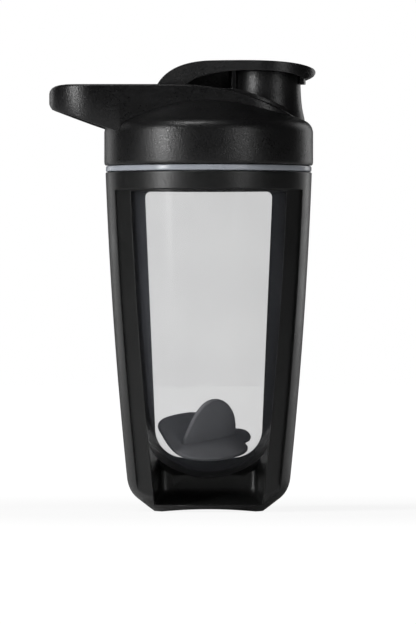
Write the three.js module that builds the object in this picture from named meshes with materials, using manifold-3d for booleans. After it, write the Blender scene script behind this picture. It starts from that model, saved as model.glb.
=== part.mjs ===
// A protein shaker bottle: a clear cup in a black grip sleeve, a screw lid with a spout and a carry loop,
// a flip cap on a hinge pin, and a loose mixing paddle. Millimetres, +Z up. The origin is the centre of the
// base, the spout points to +X, the carry loop to -X and the wide window faces -Y.

import * as THREE from "three";
import { ConvexGeometry } from "three/addons/geometries/ConvexGeometry.js";
import { mergeVertices } from "three/addons/utils/BufferGeometryUtils.js";
import Module from "manifold-3d";

const wasm = await Module();
wasm.setup();

// ---- Driving dimensions ------------------------------------------------------------------------------

const ROUND = 48; // facets round a full turn
const GAP = 0.4; // clearance between pieces that meet
const WALL = 2.2; // moulded wall

// Sleeve
const SLEEVE_TOP = 166.8;
const SLEEVE_BEND = 16; // height where the side turns in towards the base
const BASE_RADIUS = 26.9; // edge of the flat underside
const FLOOR = 3.4; // thickness of the base
const ARCH = { half: 23, lift: 1.5, padRadius: 5 }; // the underside is arched, with a round pad in the middle
const PANEL_TOP = 158; // top of the sunk grip panels
const PANEL_DEPTH = 2.3; // how far they are sunk
const PANEL_MARGIN = 4.7; // from the side outline to a panel's edge
const PANEL_FLAT = { width: 8.5, step: 1.6 }; // flat strip beside each rail, and the rail's height over it
const OPENING_MARGIN = 12.3; // from the side outline to the front opening's edge
const OPENING_TOP = 157.2;
const BACK_WINDOW = { top: 158, bottom: 25.5, halfTop: 31.6, halfBottom: 26.6, topCorner: 3, bottomCorner: 14.5 };
const POCKET = { mouth: -12, back: 5, backHalf: 23.2, backFloor: 8.2 }; // hollow under the cup, open to the front
const WEB = 4; // wall behind the pocket
const CRADLE = { radius: 33, centre: 44.8, front: -1.5, slant: 11, shell: 2.4 }; // socket that carries the cup's bowl

// Cup
const CUP_SETBACK = 4.9; // from the sleeve's outside to the cup's outside
const BOWL = { rim: 52, radius: 38.7, depth: 36.0, power: 1.82 };
const CUP_WALL = 2.3;
const CUP_BOTTOM_WALL = 3;
const FLANGE = { bottom: 167.1, top: 169.9, radius: 50.7 };
const NECK = { radius: 46.2, inside: 43.9, top: 187.2 };

// Screw thread: two starts, right-handed
const THREAD = { lead: 9, starts: 2, turn: 0.85, root: 2.0, crest: 1.0, steps: 34 };
const CUP_THREAD = { low: 174.4, crest: 47.9 };
const LID_THREAD = { low: 176.65, crest: 47.0 };

// Lid
const SKIRT = { bottom: 170.3, radius: 51.5, inside: 48.8 };
const DOME = { apex: 206, radius: 88.2, edge: 46.8 };
const SEAT = 189.6; // underside that presses on the gasket
const SPOUT = { x: 28.8, radius: 16.5, bore: 14.1, top: 217 };
const DECK = { back: -8, x: 20, half: 23.9, top: 207.6, rise: 1.6 };

// Carry loop
const LOOP = { top: 209.6, half: 27.4, noseX: 20, wall: 2.8, backX: -78.5, corner: 21.4, frontCut: 43.5 };
const LOOP_FALL = { start: -16, radius: 118 }; // the rim is level up to start, then falls along an arc

// Flip cap
const HINGE = { x: -20.5, z: 209, pin: 1.5, knuckle: 5.0, lug: 4.2, lugHalf: 10.6, armHalf: 15 };
const CAP = { noseRadius: 24.4, plate: 2.3, tabWall: 2.0, tabBottom: 210.2, tabHalf: 6 };
const CAP_WEB = { back: -12, front: 10.6, half: 1.1, bottom: 208.0, collarHalf: 7.5 }; // web under the cap
const PLUG = { radius: 13.4, wall: 1.8, bottom: 213, top: 218.7, bevel: 1.8 };

// Gasket
const GASKET = { inside: 44.1, radius: 47.6, bottom: 187.5, top: 189.3 };

// Mixing paddle: two crossed plates, lying tilted in the bowl
const PADDLE = { thick: 2.2, scale: 0.955, centre: [0, 0, 34.8] };
const PADDLE_LONG = new THREE.Vector3(0.82, 0.55, 0.155).normalize();
const PADDLE_WIDE = new THREE.Vector3(-0.508, 0.609, 0.58);

// ---- Shared outlines ---------------------------------------------------------------------------------

// Outside radius of the sleeve at a height: a gentle outward bow from base to rim.
const sleeveRadius = (z) => 38.55 + 0.1103 * z - 0.000218 * z * z;

const heights = (from, to, steps) =>
  Array.from({ length: steps + 1 }, (_, i) => from + ((to - from) * i) / steps);

// Bowl-shaped bottom from the axis out to its rim, slightly pointed at the middle.
function bowlProfile(radius, depth, steps = 9) {
  return heights(0, Math.PI / 2, steps).map((t) => {
    const share = (v) => Math.pow(Math.max(v, 0), 2 / BOWL.power);
    return [radius * share(Math.sin(t)), BOWL.rim - depth * share(Math.cos(t))];
  });
}

// Height of the dome's surface at a distance from the axis.
const domeHeight = (r) => DOME.apex - DOME.radius + Math.sqrt(DOME.radius ** 2 - r ** 2);

// Height of the carry loop's upper rim along X.
const rimHeight = (x) => {
  const past = Math.max(0, x - LOOP_FALL.start);
  return LOOP.top - LOOP_FALL.radius + Math.sqrt(LOOP_FALL.radius ** 2 - past ** 2);
};

// ---- Solids ------------------------------------------------------------------------------------------

function solidOf(geometry) {
  const bare = geometry.index ? geometry.toNonIndexed() : geometry.clone();
  bare.deleteAttribute("normal");
  bare.deleteAttribute("uv");
  const merged = mergeVertices(bare, 1e-3);
  const vertProperties = merged.attributes.position.array;
  const triVerts = Uint32Array.from(merged.index.array);
  const made = new wasm.Manifold(new wasm.Mesh({ numProp: 3, vertProperties, triVerts }));
  if (made.volume() > 0) return made;
  return new wasm.Manifold(new wasm.Mesh({ numProp: 3, vertProperties, triVerts: triVerts.reverse() }));
}

// A profile of [radius, height] pairs turned about the Z axis.
function revolve(profile, segments = ROUND) {
  const points = profile.map(([r, z]) => new THREE.Vector2(r, z));
  return solidOf(new THREE.LatheGeometry(points, segments).rotateX(Math.PI / 2));
}

const shapeOf = (points) => new THREE.Shape(points.map(([a, b]) => new THREE.Vector2(a, b)));

// A shape in plan, from one height to another.
function upright(shape, low, high, curveSegments = 10) {
  const options = { depth: high - low, bevelEnabled: false, curveSegments };
  return solidOf(new THREE.ExtrudeGeometry(shape, options).translate(0, 0, low));
}

// A shape drawn as [x, z], from one y to another.
function across(shape, low, high, curveSegments = 10) {
  const options = { depth: high - low, bevelEnabled: false, curveSegments };
  return solidOf(new THREE.ExtrudeGeometry(shape, options).rotateX(Math.PI / 2).translate(0, high, 0));
}

// An upright cylinder, and one lying along Y.
function post(x, radius, low, high, segments = 40) {
  const shape = new THREE.CylinderGeometry(radius, radius, high - low, segments).rotateX(Math.PI / 2);
  return solidOf(shape.translate(x, 0, (low + high) / 2));
}
const rod = (x, z, radius, low, high, segments = 24) =>
  solidOf(new THREE.CylinderGeometry(radius, radius, high - low, segments).translate(x, (low + high) / 2, z));

// One thread start: a trapezoid section swept up a helix, closed at both ends and tapered to its root there.
function threadRidge(root, crest, low, startAngle) {
  const sections = heights(0, 1, THREAD.steps).map((share) => {
    const angle = startAngle + share * THREAD.turn * 2 * Math.PI;
    const z = low + share * THREAD.turn * THREAD.lead;
    const fade = Math.min(1, share * 8, (1 - share) * 8);
    const tip = root + (crest - root) * (0.15 + 0.85 * fade);
    return [
      [root, -THREAD.root / 2],
      [tip, -THREAD.crest / 2],
      [tip, THREAD.crest / 2],
      [root, THREAD.root / 2],
    ].map(([r, dz]) => [r * Math.cos(angle), r * Math.sin(angle), z + dz]);
  });
  const indices = [0, 1, 2, 0, 2, 3];
  for (let s = 0; s < THREAD.steps; s++) {
    for (let k = 0; k < 4; k++) {
      const [a, b] = [4 * s + k, 4 * s + ((k + 1) % 4)];
      indices.push(a, a + 4, b, b, a + 4, b + 4);
    }
  }
  const last = 4 * THREAD.steps;
  indices.push(last, last + 2, last + 1, last, last + 3, last + 2);
  const geometry = new THREE.BufferGeometry();
  geometry.setAttribute("position", new THREE.Float32BufferAttribute(sections.flat(2), 3));
  geometry.setIndex(indices);
  return solidOf(geometry);
}

function withThread(solid, root, crest, low) {
  let made = solid;
  for (let start = 0; start < THREAD.starts; start++) {
    made = made.add(threadRidge(root, crest, low, (start * 2 * Math.PI) / THREAD.starts));
  }
  return made;
}

// ---- Outer sleeve ------------------------------------------------------------------------------------

// Outline from the base's edge up to the bend, as [radius, height].
function baseTurn() {
  const turn = new THREE.QuadraticBezierCurve(
    new THREE.Vector2(35.0, 6.2),
    new THREE.Vector2(39.4, 9.6),
    new THREE.Vector2(sleeveRadius(SLEEVE_BEND), SLEEVE_BEND),
  );
  return [[BASE_RADIUS, 0], ...turn.getPoints(4).map((p) => [p.x, p.y])];
}

// A shape in front view whose sides keep a margin inside the sleeve's outline.
function sideMarginShape(margin, low, high) {
  const levels = heights(low, high, 8);
  const right = levels.map((z) => [sleeveRadius(Math.max(z, 0)) - margin, z]);
  return shapeOf([...right, ...right.map(([x, z]) => [-x, z]).reverse()]);
}

function backWindowShape() {
  const { top, bottom, halfTop, halfBottom, topCorner, bottomCorner } = BACK_WINDOW;
  const shape = new THREE.Shape();
  shape.moveTo(0, bottom);
  shape.lineTo(halfBottom - bottomCorner, bottom);
  shape.absarc(halfBottom - bottomCorner, bottom + bottomCorner, bottomCorner, -Math.PI / 2, 0);
  shape.lineTo(halfTop, top - topCorner);
  shape.absarc(halfTop - topCorner, top - topCorner, topCorner, 0, Math.PI / 2);
  shape.absarc(topCorner - halfTop, top - topCorner, topCorner, Math.PI / 2, Math.PI);
  shape.lineTo(-halfBottom, bottom + bottomCorner);
  shape.absarc(bottomCorner - halfBottom, bottom + bottomCorner, bottomCorner, Math.PI, 1.5 * Math.PI);
  shape.closePath();
  return shape;
}

function outerSleeve() {
  const sides = heights(SLEEVE_BEND, SLEEVE_TOP, 9).slice(1);
  const outside = [[0, 0], ...baseTurn(), ...sides.map((z) => [sleeveRadius(z), z]), [0, SLEEVE_TOP]];
  const cavityBowl = bowlProfile(BOWL.radius + GAP, BOWL.depth + GAP);
  const cavitySides = heights(BOWL.rim, SLEEVE_TOP + 1, 7).slice(1);
  const cavity = [...cavityBowl, ...cavitySides.map((z) => [sleeveRadius(z) - CUP_SETBACK + GAP, z])];
  cavity.push([0, SLEEVE_TOP + 1]);

  const panels = across(sideMarginShape(PANEL_MARGIN, -1, PANEL_TOP), -60, 60).subtract(panelFloor());

  const opening = across(sideMarginShape(OPENING_MARGIN, FLOOR, OPENING_TOP), -60, POCKET.mouth);

  return revolve(outside)
    .subtract(revolve(cavity))
    .subtract(panels)
    .subtract(opening)
    .subtract(frontPocket())
    .subtract(backPocket())
    .subtract(across(backWindowShape(), 0, 60))
    .subtract(underArch());
}

// What the sunk panels leave standing: round in the middle, flat beside the rails.
function panelFloor() {
  const points = [-2, 20, 50, 90, 130, PANEL_TOP + 2].flatMap((z) => {
    const radius = sleeveRadius(Math.max(z, 0));
    const core = radius - PANEL_DEPTH;
    const edge = radius - PANEL_MARGIN;
    const reach = Math.asin((edge - PANEL_FLAT.width) / core);
    const round = heights(-reach, reach, 12).map((a) => [core * Math.sin(a), core * Math.cos(a)]);
    const foot = Math.sqrt(radius ** 2 - edge ** 2) - PANEL_FLAT.step;
    return [...round, [edge, foot], [-edge, foot], [edge + 3, 0], [-edge - 3, 0]].flatMap(([x, y]) => [
      new THREE.Vector3(x, y, z),
      new THREE.Vector3(x, -y, z),
    ]);
  });
  return solidOf(new ConvexGeometry(points));
}

// The pocket narrows from its mouth to its back wall; the socket's round edge hangs into it.
function frontPocket() {
  const outline = (y, floorHalf, topHalf, floor) =>
    [[floorHalf, floor], [topHalf, BOWL.rim]].flatMap(([x, z]) => [
      new THREE.Vector3(x, y, z),
      new THREE.Vector3(-x, y, z),
    ]);
  const margin = (z) => sleeveRadius(z) - OPENING_MARGIN;
  const mouth = outline(POCKET.mouth - 1, margin(FLOOR), margin(BOWL.rim), FLOOR);
  const back = outline(POCKET.back, POCKET.backHalf, POCKET.backHalf + 1, POCKET.backFloor);
  const socket = heights(-Math.PI / 2, 0, 12).map((t) => {
    return [CRADLE.radius * Math.cos(t), CRADLE.centre + CRADLE.radius * Math.sin(t)];
  });
  const ball = revolve([...socket, [CRADLE.radius, 60], [0, 60]]);
  const slant = [[60, 0], [CRADLE.front + CRADLE.slant, 10], [CRADLE.front, 28], [CRADLE.front, 70], [60, 70]];
  const behind = solidOf(
    new ConvexGeometry(slant.flatMap(([y, z]) => [new THREE.Vector3(-60, y, z), new THREE.Vector3(60, y, z)])),
  );
  return solidOf(new ConvexGeometry([...mouth, ...back])).subtract(ball.intersect(behind));
}

// A closed hollow behind the web, under the socket.
function backPocket() {
  const levels = heights(FLOOR, BOWL.rim - 6, 5);
  const inner = levels.map((z) => [Math.min(sleeveRadius(z), 33 + z) - PANEL_DEPTH - 2 * WALL, z]);
  const room = revolve([[0, FLOOR], ...inner, [0, BOWL.rim - 6]]);
  const half = POCKET.backHalf;
  const slab = across(shapeOf([[-half, 0], [half, 0], [half, 60], [-half, 60]]), POCKET.back + WEB, 60);
  const socket = bowlProfile(BOWL.radius + GAP + CRADLE.shell, BOWL.depth + GAP + CRADLE.shell);
  return room.intersect(slab).subtract(revolve([...socket, [0, BOWL.rim]]));
}

// The underside is a long shallow arch from front to back, so the base stands on its two sides and the pad.
function underArch() {
  const { half, lift, padRadius } = ARCH;
  const radius = (half ** 2 + lift ** 2) / (2 * lift);
  const reach = Math.asin(half / radius);
  const shape = new THREE.Shape();
  shape.moveTo(half, -1);
  shape.lineTo(half, 0);
  shape.absarc(0, lift - radius, radius, Math.PI / 2 - reach, Math.PI / 2 + reach);
  shape.lineTo(-half, -1);
  shape.closePath();
  return across(shape, -60, 60).subtract(post(0, padRadius, -2, lift + 1, 24));
}

// ---- Clear cup ---------------------------------------------------------------------------------------

function clearCup() {
  const wallHeights = heights(BOWL.rim, FLANGE.bottom - 2, 7).slice(1);
  const outside = [
    ...bowlProfile(BOWL.radius, BOWL.depth),
    ...wallHeights.map((z) => [sleeveRadius(z) - CUP_SETBACK, z]),
    [NECK.radius, FLANGE.bottom],
    [FLANGE.radius - 0.6, FLANGE.bottom],
    [FLANGE.radius, FLANGE.bottom + 0.7],
    [FLANGE.radius, FLANGE.top - 0.7],
    [FLANGE.radius - 0.6, FLANGE.top],
    [NECK.radius, FLANGE.top],
    [NECK.radius, NECK.top - 0.6],
    [NECK.radius - 0.6, NECK.top],
  ];
  const inside = [
    ...bowlProfile(BOWL.radius - CUP_WALL, BOWL.depth - CUP_BOTTOM_WALL),
    ...wallHeights.map((z) => [Math.min(sleeveRadius(z) - CUP_SETBACK - CUP_WALL, NECK.inside), z]),
    [NECK.inside, NECK.top],
  ];
  const body = revolve([...outside, ...inside.reverse()]);
  return withThread(body, NECK.radius - 0.5, CUP_THREAD.crest, CUP_THREAD.low);
}

// ---- Lid shell ---------------------------------------------------------------------------------------

// Skirt and dome as [radius, height], grown outwards and upwards by a clearance.
function lidProfile(grow = 0) {
  const dome = heights(0, DOME.edge, 8).map((r) => [r, domeHeight(r) + grow]);
  const corner = new THREE.QuadraticBezierCurve(
    new THREE.Vector2(DOME.edge, domeHeight(DOME.edge) + grow),
    new THREE.Vector2(SKIRT.radius - 0.6 + grow, 191 + grow),
    new THREE.Vector2(SKIRT.radius + grow, 186.6),
  );
  return [...dome, ...corner.getPoints(5).slice(1).map((p) => [p.x, p.y])];
}

// Plan of the raised deck: a straight back edge and a round front.
function deckShape(inset = 0) {
  const half = DECK.half - inset;
  const shape = new THREE.Shape();
  shape.moveTo(DECK.back + inset, -half);
  shape.lineTo(DECK.x, -half);
  shape.absarc(DECK.x, 0, half, -Math.PI / 2, Math.PI / 2);
  shape.lineTo(DECK.back + inset, half);
  shape.closePath();
  return shape;
}

// Side view under the deck's sloping top, lowered by a wall thickness for the hollow inside.
function deckSide(lower = 0) {
  const top = heights(DECK.x + DECK.half + 1, DECK.back - 1, 10);
  const line = top.map((x) => [x, Math.min(DECK.top, rimHeight(x) + DECK.rise) - lower]);
  return shapeOf([[DECK.back - 1, 185], [DECK.x + DECK.half + 1, 185], ...line]);
}

function hingeLug() {
  const side = new THREE.Shape();
  side.moveTo(HINGE.x - 1.2, 198);
  side.lineTo(HINGE.x + HINGE.lug, 198);
  side.lineTo(HINGE.x + HINGE.lug, HINGE.z);
  side.absarc(HINGE.x, HINGE.z, HINGE.lug, 0, 1.42 * Math.PI);
  side.closePath();
  return across(side, -HINGE.lugHalf, HINGE.lugHalf, 8);
}

function lidShell() {
  const outside = [...lidProfile(), [SKIRT.radius, 172.2], [SKIRT.radius - 0.5, SKIRT.bottom], [0, SKIRT.bottom]];
  const hollow = [
    [0, SKIRT.bottom - 1],
    [SKIRT.inside, SKIRT.bottom - 1],
    [SKIRT.inside, SEAT],
    [GASKET.inside - 0.6, SEAT],
    ...heights(GASKET.inside - 0.6, 0, 8).map((r) => [r, domeHeight(r) - WALL]),
  ];
  const deck = upright(deckShape(), 190, 215, 12).intersect(across(deckSide(), -30, 30));
  const underDeck = upright(deckShape(WALL), 190, 215, 12).intersect(across(deckSide(WALL), -30, 30));
  const spout = post(SPOUT.x, SPOUT.radius, 190, SPOUT.top);
  const spoutWay = post(SPOUT.x, SPOUT.bore, 188, SPOUT.top + 1);
  const relief = rod(HINGE.x, HINGE.z, HINGE.knuckle + 1.0, -HINGE.armHalf - 1, HINGE.armHalf + 1);
  const inside = revolve(hollow);

  const shell = revolve(outside)
    .subtract(relief)
    .add(deck)
    .add(spout)
    .add(hingeLug().subtract(inside))
    .subtract(inside)
    .subtract(underDeck.subtract(revolve([[GASKET.inside, 185], [60, 185], [60, 230], [GASKET.inside, 230], [GASKET.inside, 185]])))
    .subtract(spoutWay)
    .subtract(rod(HINGE.x, HINGE.z, HINGE.pin + 0.05, -20, 20));
  return withThread(shell, SKIRT.inside + 0.5, LID_THREAD.crest, LID_THREAD.low);
}

// ---- Carry loop --------------------------------------------------------------------------------------

// Plan of the loop's band: a round nose round the deck and a blunter round end past the lid.
function loopShape(inset = 0) {
  const half = LOOP.half - inset;
  const turnX = LOOP.backX + LOOP.corner;
  const turnY = LOOP.half - LOOP.corner;
  const corner = LOOP.corner - inset;
  const shape = new THREE.Shape();
  shape.moveTo(turnX, -half);
  shape.lineTo(LOOP.noseX, -half);
  shape.absarc(LOOP.noseX, 0, half, -Math.PI / 2, Math.PI / 2);
  shape.lineTo(turnX, half);
  shape.absarc(turnX, turnY, corner, Math.PI / 2, Math.PI);
  shape.absarc(turnX, -turnY, corner, Math.PI, 1.5 * Math.PI);
  shape.closePath();
  return shape;
}

function carryLoop() {
  const rim = heights(LOOP.frontCut, LOOP_FALL.start, 8).map((x) => [x, rimHeight(x)]);
  const side = shapeOf([
    [LOOP.frontCut, 184],
    ...rim,
    [LOOP.backX + 8, LOOP.top],
    [LOOP.backX + 3.5, LOOP.top - 0.5],
    [LOOP.backX + 1.2, LOOP.top - 1.4],
    [LOOP.backX, LOOP.top - 3.2],
    [LOOP.backX, 198.9],
    [-76.5, 197.2],
    [-44, 186.1],
    [-40, 184],
  ]);
  const band = upright(loopShape(), 180, 215, 14).subtract(upright(loopShape(LOOP.wall), 179, 216, 14));
  const lidSpace = revolve([[0, 160], ...lidProfile(GAP), [SKIRT.radius + GAP, 160]].slice(1).concat([[0, 160]]));
  return band.intersect(across(side, -40, 40)).subtract(lidSpace);
}

// ---- Flip cap ----------------------------------------------------------------------------------------

// Plan of the cap: round over the spout, narrowing to the hinge.
function capShape(inset = 0) {
  const radius = CAP.noseRadius - inset;
  const half = HINGE.armHalf - inset;
  const lean = Math.asin((radius - half) / (SPOUT.x - HINGE.x + 6));
  const shape = new THREE.Shape();
  shape.moveTo(HINGE.x - 7, 0);
  shape.lineTo(HINGE.x - 7, -half);
  shape.absarc(SPOUT.x, 0, radius, -Math.PI / 2 - lean, Math.PI / 2 + lean);
  shape.lineTo(HINGE.x - 7, half);
  shape.closePath();
  return shape;
}

// The cap's back and top as seen from the side, from the hinge to the nose.
function capTop(lower = 0) {
  const back = new THREE.CubicBezierCurve(
    new THREE.Vector2(-25.2 + lower, 210.0),
    new THREE.Vector2(-22.0 + lower, 215.2 - lower / 2),
    new THREE.Vector2(-15.6 + lower / 2, 220.8 - lower),
    new THREE.Vector2(0, 221.4 - lower),
  );
  const nose = new THREE.CubicBezierCurve(
    new THREE.Vector2(0, 221.4 - lower),
    new THREE.Vector2(24, 221.8 - lower),
    new THREE.Vector2(45, 221.3 - lower),
    new THREE.Vector2(51.6, 217.6 - lower),
  );
  return [...back.getPoints(8), ...nose.getPoints(8).slice(1)].map((p) => [p.x, p.y]);
}

function capSide() {
  const shape = shapeOf([...capTop(), [52.6, 216.2], [51.8, 214.3], [48.4, 212.6], [46.6, 212.4]]);
  shape.quadraticCurveTo(43, 216.4, 20, 216.6);
  shape.quadraticCurveTo(2, 216.2, -6, 212.8);
  shape.quadraticCurveTo(-11, 210.4, -13.6, 206.6);
  shape.absarc(HINGE.x, HINGE.z, HINGE.knuckle, -0.4, -Math.PI * 0.95, true);
  shape.closePath();
  return shape;
}

function capTab() {
  const ring = post(SPOUT.x, SPOUT.radius + 0.5 + CAP.tabWall, CAP.tabBottom, 217.6);
  return ring.intersect(across(shapeOf([[40, 200], [60, 200], [60, 225], [40, 225]]), -CAP.tabHalf, CAP.tabHalf));
}

// A stiffening web along the middle, under the cap, from near the hinge to a collar behind the spout.
function capWeb() {
  const { back, front, half, bottom, collarHalf } = CAP_WEB;
  const web = upright(shapeOf([[back, -half], [front, -half], [front, half], [back, half]]), bottom, 230);
  const under = capTop(1);
  const room = shapeOf([[back, 195], [front, 195], [front, 220], ...under.filter(([x]) => x < front).reverse()]);
  const collar = post(SPOUT.x, SPOUT.radius + 0.5 + CAP.tabWall, bottom, 219.6);
  const behind = across(shapeOf([[5, 200], [16, 200], [16, 225], [5, 225]]), -collarHalf, collarHalf);
  return web.intersect(across(room, -10, 10, 12)).add(collar.intersect(behind));
}

function flipCap() {
  const under = capTop(CAP.plate);
  const hollowSide = shapeOf([[HINGE.x - 8, 195], [60, 195], [60, under.at(-1)[1]], ...under.reverse()]);
  const hollowPlan = upright(capShape(WALL + 0.2), 190, 230, 14);
  const besideLug = upright(shapeOf([[-40, -11], [-8, -11], [-8, 11], [-40, 11]]), 190, 212.6);
  const hollow = across(hollowSide, -30, 30, 12).intersect(hollowPlan);
  const arms = across(hollowSide, -30, 30, 12).intersect(
    upright(shapeOf([[-40, -30], [-12, -30], [-12, 30], [-40, 30]]), 190, 230),
  );
  const keptArms = arms.subtract(upright(shapeOf([[-41, -11], [-11, -11], [-11, 11], [-41, 11]]), 189, 231));
  return upright(capShape(), 190, 230, 14)
    .intersect(across(capSide(), -30, 30))
    .subtract(hollow.subtract(keptArms))
    .subtract(besideLug)
    .add(capTab())
    .add(capWeb())
    .subtract(post(SPOUT.x, SPOUT.radius + 0.5, 195, 219))
    .subtract(rod(HINGE.x, HINGE.z, HINGE.pin + 0.05, -13.6, 13.6))
    .subtract(rod(HINGE.x, HINGE.z, HINGE.lug + GAP, -11, 11));
}

// Soft stopper that closes the spout: a shallow cup, open upwards.
function spoutPlug() {
  const { radius, wall, bottom, top, bevel } = PLUG;
  const profile = [[0, bottom], [radius - bevel, bottom], [radius, bottom + bevel], [radius, top]];
  const inner = [[radius - wall, top], [radius - wall, bottom + wall], [0, bottom + wall]];
  return revolve([...profile, ...inner], 36).translate([SPOUT.x, 0, 0]);
}

const hingePin = () => rod(HINGE.x, HINGE.z, HINGE.pin, -13.2, 13.2, 20);

function lidGasket() {
  const { inside, radius, bottom, top } = GASKET;
  return revolve([[inside, bottom], [radius, bottom], [radius, top], [inside, top], [inside, bottom]]);
}

// ---- Mixing paddle -----------------------------------------------------------------------------------

// Lobed outline of the paddle's wide plate, as [along, across], with a narrow tab at one end.
function paddlePlateShape() {
  const shape = new THREE.Shape();
  shape.moveTo(24.6, -1);
  shape.quadraticCurveTo(24.2, 3.1, 19, 4.1);
  shape.bezierCurveTo(16.5, 15, 9, 22.4, 0, 23);
  shape.bezierCurveTo(-12, 23.6, -21, 23, -22, 13);
  shape.bezierCurveTo(-24.4, 1, -25.2, -5, -19.5, -10);
  shape.bezierCurveTo(-12, -15.6, 0, -16.6, 9, -15.6);
  shape.bezierCurveTo(16.2, -14.6, 19, -11.4, 17.2, -7);
  shape.quadraticCurveTo(24.6, -6.9, 24.6, -1);
  return shape;
}

// Outline of the fin that crosses it, as [along, up].
function paddleFinShape() {
  const shape = new THREE.Shape();
  shape.moveTo(-17, 0);
  shape.bezierCurveTo(-16, 14, -13.8, 27.6, -5.2, 27.6);
  shape.bezierCurveTo(4.8, 27.6, 15, 14, 16, 0);
  shape.bezierCurveTo(12, -7, 6, -10.5, -1, -10.5);
  shape.bezierCurveTo(-9, -10.5, -15, -6, -17, 0);
  return shape;
}

function mixingPaddle() {
  const options = { depth: PADDLE.thick, bevelEnabled: false, curveSegments: 8 };
  const plate = new THREE.ExtrudeGeometry(paddlePlateShape(), options).translate(0, 0, -PADDLE.thick / 2);
  const fin = new THREE.ExtrudeGeometry(paddleFinShape(), options);
  plate.scale(PADDLE.scale, PADDLE.scale, 1);
  fin.scale(PADDLE.scale, PADDLE.scale, 1).rotateX(Math.PI / 2).translate(0, PADDLE.thick / 2, 0);
  const up = new THREE.Vector3().crossVectors(PADDLE_LONG, PADDLE_WIDE).normalize();
  const wide = new THREE.Vector3().crossVectors(up, PADDLE_LONG);
  const place = new THREE.Matrix4().makeBasis(PADDLE_LONG, wide, up).setPosition(...PADDLE.centre);
  return solidOf(plate.applyMatrix4(place)).add(solidOf(fin.applyMatrix4(place)));
}

// ---- Assembly ----------------------------------------------------------------------------------------

const MATERIALS = {
  black: new THREE.MeshStandardMaterial({ color: 0x1c1c1e, roughness: 0.42, metalness: 0 }),
  smoke: new THREE.MeshStandardMaterial({
    color: 0xc8c9cb,
    roughness: 0.12,
    metalness: 0,
    transparent: true,
    opacity: 0.3,
  }),
  silicone: new THREE.MeshStandardMaterial({ color: 0x2a2a2c, roughness: 0.7, metalness: 0 }),
  steel: new THREE.MeshStandardMaterial({ color: 0xb4b6b8, roughness: 0.3, metalness: 1 }),
};

function meshOf(name, solid, material) {
  const { vertProperties, triVerts } = solid.getMesh();
  const geometry = new THREE.BufferGeometry();
  geometry.setAttribute("position", new THREE.BufferAttribute(vertProperties, 3));
  geometry.setIndex(new THREE.BufferAttribute(triVerts, 1));
  geometry.computeVertexNormals();
  const mesh = new THREE.Mesh(geometry, material);
  mesh.name = name;
  return mesh;
}

const bottle = new THREE.Group();
bottle.add(
  meshOf("outer_sleeve", outerSleeve(), MATERIALS.black),
  meshOf("clear_cup", clearCup(), MATERIALS.smoke),
);

const lid = new THREE.Group();
lid.add(
  meshOf("lid_shell", lidShell(), MATERIALS.black),
  meshOf("carry_loop", carryLoop(), MATERIALS.black),
  meshOf("lid_gasket", lidGasket(), MATERIALS.silicone),
  meshOf("hinge_pin", hingePin(), MATERIALS.steel),
);

const cap = new THREE.Group();
cap.add(
  meshOf("flip_cap", flipCap(), MATERIALS.black),
  meshOf("spout_plug", spoutPlug(), MATERIALS.silicone),
);

const shaker = new THREE.Group();
shaker.add(bottle, lid, cap, meshOf("mixing_paddle", mixingPaddle(), MATERIALS.black));

export default shaker;
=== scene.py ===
"""A protein shaker bottle: sleeve, clear cup, lid, carry loop, flip cap, gasket, pin, plug and mixing paddle.

Shapes are drawn in millimetres and scaled to metres as each mesh is made. The origin is the centre of the
base, +Z is up, the spout points to +X and the wide window faces -Y.
"""

import math

import bpy
import numpy as np
from mathutils import Matrix, Vector


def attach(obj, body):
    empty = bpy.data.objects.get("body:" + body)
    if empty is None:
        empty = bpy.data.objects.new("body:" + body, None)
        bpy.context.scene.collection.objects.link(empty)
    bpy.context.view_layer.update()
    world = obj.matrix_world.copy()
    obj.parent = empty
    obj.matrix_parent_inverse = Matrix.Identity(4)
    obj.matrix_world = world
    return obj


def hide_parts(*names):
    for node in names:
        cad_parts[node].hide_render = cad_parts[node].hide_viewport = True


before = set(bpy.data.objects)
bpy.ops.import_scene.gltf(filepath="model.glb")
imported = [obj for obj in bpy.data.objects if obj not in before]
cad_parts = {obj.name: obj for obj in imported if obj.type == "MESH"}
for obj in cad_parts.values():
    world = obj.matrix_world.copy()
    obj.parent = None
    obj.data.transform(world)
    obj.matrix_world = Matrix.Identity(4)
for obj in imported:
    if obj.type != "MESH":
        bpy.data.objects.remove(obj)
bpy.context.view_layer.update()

MM = 0.001
TURN = 192  # facets round a full turn

# ---- Dimensions, in millimetres ------------------------------------------------------------------------

SLEEVE_TOP = 166.8
SLEEVE_BEND = 16
BASE_RADIUS = 26.9
FLOOR = 3.4
ARCH_HALF, ARCH_LIFT = 23, 1.5
PANEL_END, PANEL_FADE = 158.12, 0.24  # height where a sunk panel ends, and over how much
PANEL_DEPTH, PANEL_MARGIN = 2.3, 4.7
OPENING_MARGIN, OPENING_TOP = 12.3, 157.2
PANEL_FLAT, PANEL_STEP = 8.5, 1.6  # flat strip beside each rail, and the rail's height over it
WINDOW_TOP, WINDOW_BOTTOM = 158, 25.5
WINDOW_HALF_TOP, WINDOW_HALF_BOTTOM = 31.6, 26.6
WINDOW_TOP_CORNER, WINDOW_BOTTOM_CORNER = 3, 14.5
POCKET_MOUTH, POCKET_BACK, POCKET_BACK_HALF, POCKET_BACK_FLOOR = -12, 5, 23.2, 8.2
CRADLE_RADIUS, CRADLE_CENTRE, CRADLE_FRONT, CRADLE_SLANT = 33, 44.8, -1.5, 11

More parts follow.
